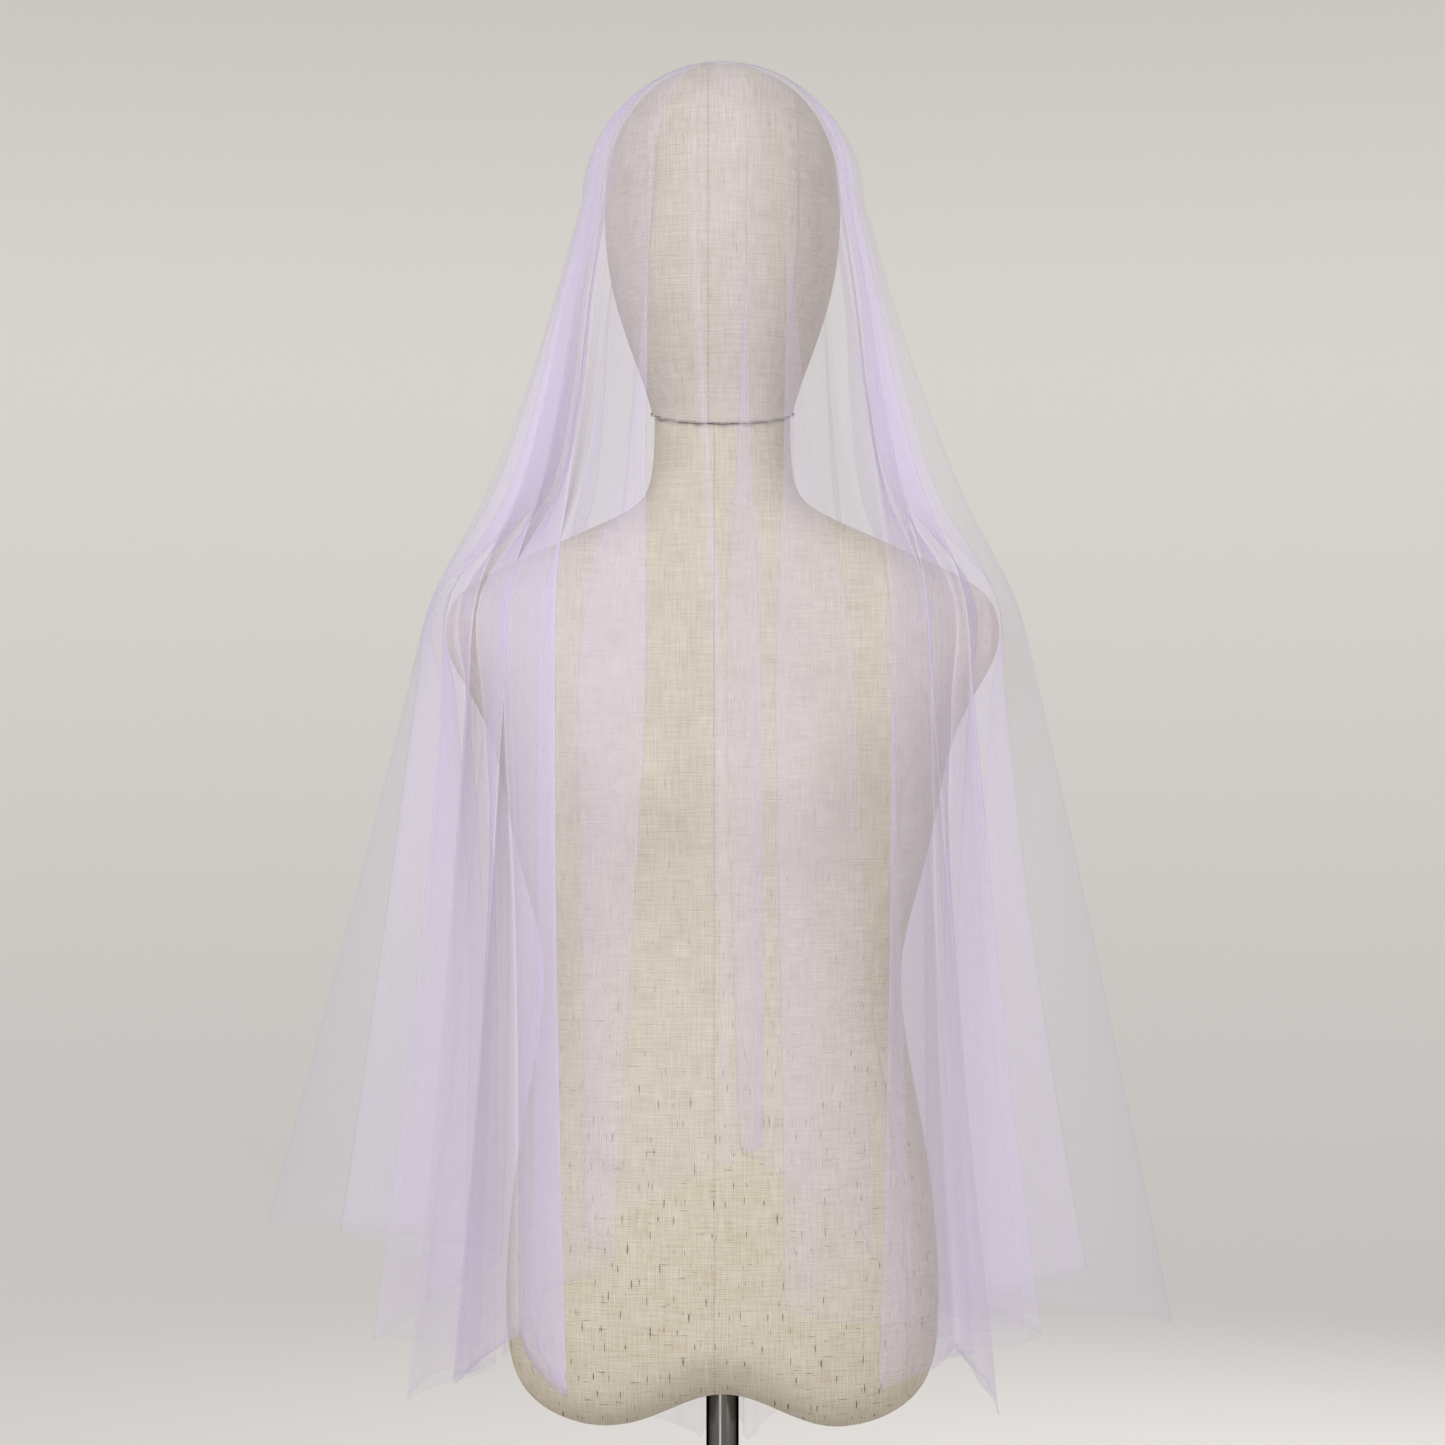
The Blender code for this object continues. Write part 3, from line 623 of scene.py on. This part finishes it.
# %% The wrapper
class Pattern:
    """A value in a material's node tree that can be used in a formula."""

    def __init__(self, tree, socket):
        self.tree = tree
        self.socket = socket

    def node(self, kind, settings=None, **inputs):
        """Add a node of a kind, set its settings first, then its inputs by name or number."""
        made = self.tree.nodes.new(kind)
        for name, value in (settings or {}).items():
            setattr(made, name, value)
        for name, value in inputs.items():
            key = int(name[1:]) if name[0] == "i" and name[1:].isdigit() else name.replace("_", " ")
            self.feed(made.inputs[key], value)
        return made

    def feed(self, target, value):
        if isinstance(value, Pattern):
            self.tree.links.new(value.socket, target)
        elif isinstance(value, bpy.types.NodeSocket):
            self.tree.links.new(value, target)
        else:
            target.default_value = value

    def math(self, operation, other=0.0):
        made = self.node("ShaderNodeMath", {"operation": operation}, i0=self, i1=other)
        return Pattern(self.tree, made.outputs[0])

    def reflected(self, operation, other):
        made = self.node("ShaderNodeMath", {"operation": operation}, i0=other, i1=self)
        return Pattern(self.tree, made.outputs[0])

    def __add__(self, other):
        return self.math("ADD", other)

    __radd__ = __add__

    def __mul__(self, other):
        return self.math("MULTIPLY", other)

    __rmul__ = __mul__

    def __sub__(self, other):
        return self.math("SUBTRACT", other)

    def __rsub__(self, other):
        return self.reflected("SUBTRACT", other)

    def __pow__(self, other):
        return self.math("POWER", other)

    def sine(self):
        return self.math("SINE")

    def size(self):
        return self.math("ABSOLUTE")

    def between(self, low, high, smooth=True):
        """0 below low, 1 above high, and a smooth step between them."""
        settings = {"interpolation_type": "SMOOTHSTEP" if smooth else "LINEAR"}
        made = self.node("ShaderNodeMapRange", settings, Value=self, From_Min=low, From_Max=high)
        return Pattern(self.tree, made.outputs[0])


# %% [markdown]
# The helpers below read a place on the piece and make noise there. Each material starts from a fresh
# Principled shader.


# %% Start a material
def new_material(name):
    """A material with a Principled shader, and a first pattern to add nodes from."""
    material = bpy.data.materials.new(name)
    material.use_nodes = True
    tree = material.node_tree
    shader = tree.nodes["Principled BSDF"]
    return material, shader, Pattern(tree, None)


def split_place(start, output_name):
    """The three parts of a texture coordinate, and the vector itself."""
    source = start.node("ShaderNodeTexCoord").outputs[output_name]
    parts = start.node("ShaderNodeSeparateXYZ", None, Vector=source)
    return [Pattern(start.tree, parts.outputs[i]) for i in range(3)] + [source]


def read_map(start, map_name):
    """The two parts of one of the piece's own UV maps."""
    source = start.node("ShaderNodeUVMap", {"uv_map": map_name}).outputs[0]
    parts = start.node("ShaderNodeSeparateXYZ", None, Vector=source)
    return [Pattern(start.tree, parts.outputs[i]) for i in range(2)]


def place_vector(x, y, z=0.0):
    """A vector from three values."""
    start = next(part for part in (x, y, z) if isinstance(part, Pattern))
    return start.node("ShaderNodeCombineXYZ", None, X=x, Y=y, Z=z).outputs[0]


def noise(start, place, scale, detail=2.0, roughness=0.5):
    """Noise from 0 to 1 at a place."""
    made = start.node(
        "ShaderNodeTexNoise", None, Vector=place, Scale=scale, Detail=detail, Roughness=roughness)
    return Pattern(start.tree, made.outputs["Fac"])


def mix_colours(factor, first, second, blend="MIX"):
    """Two colours mixed by a pattern or a number. Each colour is a tuple or a socket."""
    first, second = (colour if not isinstance(colour, tuple) else (*colour, 1) for colour in (first, second))
    made = factor.node(
        "ShaderNodeMix", {"data_type": "RGBA", "blend_type": blend}, i0=factor, i6=first, i7=second)
    return made.outputs[2]


# %% [markdown]
# ## Tulle
#
# Soft net is mostly holes, so one layer hides only about a twelfth of what is behind it. Depth of colour
# comes from layers lying over each other, from the gathers, and from the turns of the folds, where the eye
# runs along the cloth. The material is a matt lilac that is mostly clear. The net itself is two crossed
# waves on the flat cut, and it only ripples the clearness. Because the wall is a shell, a look passes two
# faces for each layer, and each face carries half of the cover.

# %% Material of the veil
TULLE_COLOUR = (0.585, 0.52, 0.70)
FACE_COVER = 0.042
NET_PITCH = 0.0016
NET_SLANT = 0.7
NET_RIPPLE = 0.15
STREAKS_PER_FOLD = 15.0
STREAK_DRAWN_OUT = 1.3
PLAIN_SHARE = 0.85
STREAK_SHARE = 0.3
GATHER_SHARE = 0.75
GATHER_STREAKS = 0.5
EDGE_GAIN = 1.8
EDGE_TIGHTNESS = 4


def tulle_material():
    material, shader, start = new_material("tulle_lilac")
    u, v = read_map(start, "cut")
    turn = 2 * math.pi / NET_PITCH * NET_SLANT
    net = ((u + v) * turn).sine() * ((u - v) * turn).sine()
    fold, height = read_map(start, "folds")
    streaks = noise(start, place_vector(fold * STREAKS_PER_FOLD, height * STREAK_DRAWN_OUT), 1.0, 0.0)
    source = start.node("ShaderNodeAttribute", {"attribute_name": "gather"})
    gather = Pattern(start.tree, source.outputs["Fac"])
    along = Pattern(start.tree, start.node("ShaderNodeLayerWeight", None, Blend=0.5).outputs["Facing"])
    lines = streaks.between(0.25, 0.80)
    loose = PLAIN_SHARE + NET_RIPPLE * net + STREAK_SHARE * lines
    cover = FACE_COVER * (loose + gather * (GATHER_SHARE + GATHER_STREAKS * lines))
    start.feed(shader.inputs["Alpha"], cover * (1 + along**EDGE_TIGHTNESS * EDGE_GAIN))
    shader.inputs["Base Color"].default_value = (*TULLE_COLOUR, 1)
    shader.inputs["Roughness"].default_value = 0.9
    shader.inputs["Specular IOR Level"].default_value = 0.0
    return material


veil.data.materials.append(tulle_material())

# %% [markdown]
# ## Linen
#
# The form is covered in unbleached linen: a plain weave of uneven threads, with thick slubs both ways and
# short dark flecks of straw, mostly upright. The threads lie along the form's height and its width, so the
# pattern is read from the front at the front and back, and from the side at the sides. A seam runs up the
# middle of the front and the back, a thin sunk line with a row of small stitches. The head's cover is a
# little pinker than the torso's.

# %% Material of the form
TORSO_LIGHT = (0.60, 0.555, 0.475)
TORSO_DARK = (0.385, 0.33, 0.25)
HEAD_LIGHT = (0.58, 0.535, 0.49)
HEAD_DARK = (0.385, 0.33, 0.275)
FLECK_COLOUR = (0.06, 0.045, 0.03)
SEAM_SHADE = 0.62
THREAD_PITCH = 0.0016
THREAD_WANDER = 2.5
STITCH_PITCH = 0.004
CLOUD_SCALE = 40
SLUB_FINE, SLUB_LONG = 800, 50
STRAW_FINE, STRAW_LONG = 800, 95
STRAW_LOW, STRAW_HIGH = 0.80, 1.25


def linen_threads(start, across, height):
    """Relief of the weave and its slubs from 0 to 1, and the flecks of straw."""
    turn = 2 * math.pi / THREAD_PITCH
    cloudy = noise(start, place_vector(across * CLOUD_SCALE, height * CLOUD_SCALE), 1.0, 1.0)
    wander = cloudy * THREAD_WANDER
    upright = (across * turn + wander).sine() * 0.5 + 0.5
    level = (height * turn + wander).sine() * 0.5 + 0.5
    slub_up = noise(start, place_vector(across * SLUB_FINE, height * SLUB_LONG), 1.0, 1.0)
    slub_level = noise(start, place_vector(across * SLUB_LONG, height * SLUB_FINE), 1.0, 1.0)
    weave = upright * level * 0.4 + slub_up * 0.6 + slub_level * 0.6
    upright_straw = noise(start, place_vector(across * STRAW_FINE, height * STRAW_LONG, 7.0), 1.0, 0.0)
    level_straw = noise(start, place_vector(across * STRAW_LONG, height * STRAW_FINE, 3.0), 1.0, 0.0)
    flecks = upright_straw.between(0.73, 0.81) + level_straw.between(0.74, 0.83) * 0.6
    return weave, flecks, cloudy


def linen_material(name, light, dark, seam_offset):
    material, shader, start = new_material(name)
    x, y, z, place = split_place(start, "Object")
    normal = split_place(start, "Normal")
    sideways = normal[0].size().between(0.68, 0.70)
    weave, flecks, cloudy = linen_threads(start, x * (1 - sideways) + y * sideways, z)
    low = 1 - z.between(STRAW_LOW, STRAW_HIGH)
    tone = weave.between(0.40, 1.05, smooth=False) * 0.8 + cloudy * 0.3
    colour = mix_colours(tone, dark, light)
    seam = 1 - (x - seam_offset).size().between(0.0003, 0.0010)
    stitches = ((z * (2 * math.pi / STITCH_PITCH)).sine() * 0.5 + 0.5) * seam
    colour = mix_colours(seam * (0.12 + 0.28 * stitches), colour, tuple(c * SEAM_SHADE for c in dark))
    colour = mix_colours(flecks * (0.20 + 0.60 * low), colour, FLECK_COLOUR)
    start.feed(shader.inputs["Base Color"], colour)
    relief = weave * 0.6 - seam * 0.3
    bump = start.node("ShaderNodeBump", None, Strength=0.6, Distance=0.0006, Height=relief)
    start.feed(shader.inputs["Normal"], bump.outputs[0])
    shader.inputs["Roughness"].default_value = 0.92
    shader.inputs["Specular IOR Level"].default_value = 0.0
    return material


head.data.materials.append(linen_material("linen_head", HEAD_LIGHT, HEAD_DARK, -0.0094))
torso.data.materials.append(linen_material("linen_torso", TORSO_LIGHT, TORSO_DARK, -0.0055))

# %% [markdown]
# ## Chrome
#
# A thin chromed pole mirrors the whole room round it, and the shaded side of the room makes its edges nearly
# black, with one bright line where it faces the lights. Much of that is painted here: the pole's metal
# colour is dark as a painted reflection of the dim room, and it falls off further towards the edges as
# painted shade.
# The plate is level and mirrors the pale wall. That is painted too, as a lighter metal colour with a painted
# darker edge. Fine lengthwise brushing and a few dull patches from handling break up the mirror.

# %% Material of the stand
# The metal colours are painted reflection, and the edge colours are painted shade towards the edges.
POLE_COLOUR_WITH_PAINTED_REFLECTION = (0.18, 0.175, 0.17)
POLE_PAINTED_EDGE_SHADE = (0.025, 0.024, 0.022)
PLATE_COLOUR_WITH_PAINTED_REFLECTION = (0.50, 0.495, 0.485)
PLATE_PAINTED_EDGE_SHADE = (0.42, 0.415, 0.405)


def chrome_material(name, middle, rim):
    material, shader, start = new_material(name)
    x, y, z, place = split_place(start, "Object")
    smears = noise(start, place, 30.0, 4.0)
    brushing = noise(start, place_vector(x * 900, y * 900, z * 20), 1.0, 2.0)
    start.feed(shader.inputs["Roughness"], 0.10 + smears.between(0.4, 0.8) * 0.12 + brushing * 0.04)
    along = Pattern(start.tree, start.node("ShaderNodeLayerWeight", None, Blend=0.5).outputs["Facing"])
    # Painted reflection and shade: the colour goes from the middle colour to the darker edge colour as the
    # surface turns from the view.
    start.feed(shader.inputs["Base Color"], mix_colours(along.between(0.04, 0.55), middle, rim))
    # The darker edge colour also tints the gloss, as painted shade at the edges.
    shader.inputs["Specular Tint"].default_value = (*rim, 1)
    shader.inputs["Metallic"].default_value = 1.0
    return material


pole.data.materials.append(chrome_material("chrome_pole", POLE_COLOUR_WITH_PAINTED_REFLECTION, POLE_PAINTED_EDGE_SHADE))
base.data.materials.append(chrome_material("chrome_plate", PLATE_COLOUR_WITH_PAINTED_REFLECTION, PLATE_PAINTED_EDGE_SHADE))

# %% [markdown]
# ## The room
#
# A pale floor that curves up into a wall all round gives every view the same quiet background, with no
# line where floor and wall meet. It starts as a circle, and its rim is drawn out and up step by step. Its
# colour carries painted light: it is brightest at the height of the form, as a painted pool of light, and it
# glows faintly, a painted glow that stands in for the light a studio's many soft lamps throw on its walls.

# %% Floor and wall in one
FLOOR_RADIUS = 5.2
COVE_RADIUS = 2.2
COVE_STEPS = 14
ROOM_SIDES = 96
WALL_HEIGHT = 6.5
# The painted light on the wall is brightest at this height. The colours and the glow below are painted
# light.
PAINTED_LIGHT_HEIGHT = 2.2
WALL_TOP = 3.6
ROOM_LOW = (0.525, 0.505, 0.49)
ROOM_PAINTED_LIGHT = (0.595, 0.582, 0.5525)
ROOM_HIGH = (0.515, 0.50, 0.475)
ROOM_PAINTED_GLOW = 0.52


def make_room():
    bpy.ops.object.select_all(action="DESELECT")
    bpy.ops.mesh.primitive_circle_add(vertices=ROOM_SIDES, radius=FLOOR_RADIUS, fill_type="NGON")
    room = bpy.context.object
    room.name = "pale_room"
    bpy.ops.object.mode_set(mode="EDIT")
    bpy.ops.mesh.select_mode(type="EDGE")
    bpy.ops.mesh.select_all(action="SELECT")
    bpy.ops.mesh.region_to_loop()
    outline = [
        (FLOOR_RADIUS + COVE_RADIUS * math.sin(turn), COVE_RADIUS * (1 - math.cos(turn)))
        for turn in np.linspace(0, math.pi / 2, COVE_STEPS)]
    outline.append((FLOOR_RADIUS + COVE_RADIUS, WALL_HEIGHT))
    for (radius, height), (next_radius, next_height) in zip(outline, outline[1:]):
        bpy.ops.mesh.extrude_region_move(
            TRANSFORM_OT_translate={"value": (0, 0, next_height - height)})
        grow = next_radius / radius
        bpy.ops.transform.resize(value=(grow, grow, 1), center_override=(0, 0, 0))
    bpy.ops.object.mode_set(mode="OBJECT")
    bpy.ops.object.shade_smooth()
    return room


room = make_room()
room_material, room_shader, room_start = new_material("pale_paint_and_painted_light")
_, _, room_height, _ = split_place(room_start, "Object")
# Painted light: the colour rises to its brightest at the height of the form and falls above it.
low_wall = mix_colours(room_height.between(0, PAINTED_LIGHT_HEIGHT), ROOM_LOW, ROOM_PAINTED_LIGHT)
room_painted_light = mix_colours(room_height.between(PAINTED_LIGHT_HEIGHT, WALL_TOP), low_wall, ROOM_HIGH)
room_start.feed(room_shader.inputs["Base Color"], room_painted_light)
# Painted glow: the paint itself gives off light.
room_start.feed(room_shader.inputs["Emission Color"], room_painted_light)
room_shader.inputs["Emission Strength"].default_value = ROOM_PAINTED_GLOW
room_shader.inputs["Roughness"].default_value = 0.95
room_shader.inputs["Specular IOR Level"].default_value = 0.0
room_material.cycles.emission_sampling = "NONE"
room.data.materials.append(room_material)
print("room is", 2 * (FLOOR_RADIUS + COVE_RADIUS), "m across")

# %% [markdown]
# ## Light and camera
#
# Large soft lamps: a wide one high in front, a weaker one on the other side, one above and one behind for
# the views from the back. A low strip in front is there for the gloss of the pole alone. The net casts no
# shadow: under lamps this soft it would only dim the form evenly, and it takes a third more time to trace.
# The camera stands 2.4 m in front, level, at chest height, and sees what a 23 degree lens sees.


# %% Lamps
def add_lamp(name, place, target, size, power):
    data = bpy.data.lights.new(name, "AREA")
    data.shape = "DISK"
    data.size = size
    data.energy = power
    lamp = bpy.data.objects.new(name, data)
    bpy.context.scene.collection.objects.link(lamp)
    lamp.location = place
    lamp.rotation_euler = (Vector(target) - Vector(place)).to_track_quat("-Z", "Y").to_euler()
    lamp.visible_camera = False
    return lamp


add_lamp("key", (-1.7, -3.4, 3.0), (0, 0, 1.35), 2.2, 120)
add_lamp("fill", (2.8, -3.4, 2.5), (0, 0, 1.25), 2.4, 62)
add_lamp("top", (0.4, 1.2, 4.6), (0, 0, 1.0), 3.0, 22)
add_lamp("back", (1.6, 3.8, 2.8), (0, 0, 1.1), 2.4, 70)
strip = add_lamp("strip", (-0.83, -2.88, 0.75), (0, 0, 0.75), 0.6, 6)
strip.data.shape = "RECTANGLE"
strip.data.size_y = 1.2
strip.visible_diffuse = False

DAY_COLOUR = (0.97, 0.98, 1.0)
DAY_STRENGTH = 0.35
world = bpy.data.worlds.new("soft_day")
world.use_nodes = True
world.node_tree.nodes["Background"].inputs["Color"].default_value = (*DAY_COLOUR, 1)
world.node_tree.nodes["Background"].inputs["Strength"].default_value = DAY_STRENGTH
bpy.context.scene.world = world

# %% Camera
CAMERA_DISTANCE = 2.4
CAMERA_HEIGHT = 1.254
VIEW_DEGREES = 23.0
camera_data = bpy.data.cameras.new("camera")
camera_data.sensor_width = 36
camera_data.lens = camera_data.sensor_width / 2 / math.tan(math.radians(VIEW_DEGREES) / 2)
camera = bpy.data.objects.new("camera", camera_data)
bpy.context.scene.collection.objects.link(camera)
camera.location = (0, -CAMERA_DISTANCE, CAMERA_HEIGHT)
camera.rotation_euler = (math.radians(90), 0, 0)
bpy.context.scene.camera = camera
bpy.context.scene.cycles.transparent_max_bounces = 96
bpy.context.scene.cycles.max_bounces = 2
bpy.context.scene.cycles.diffuse_bounces = 1
bpy.context.scene.cycles.light_sampling_threshold = 0.3
bpy.context.scene.view_settings.view_transform = "Standard"
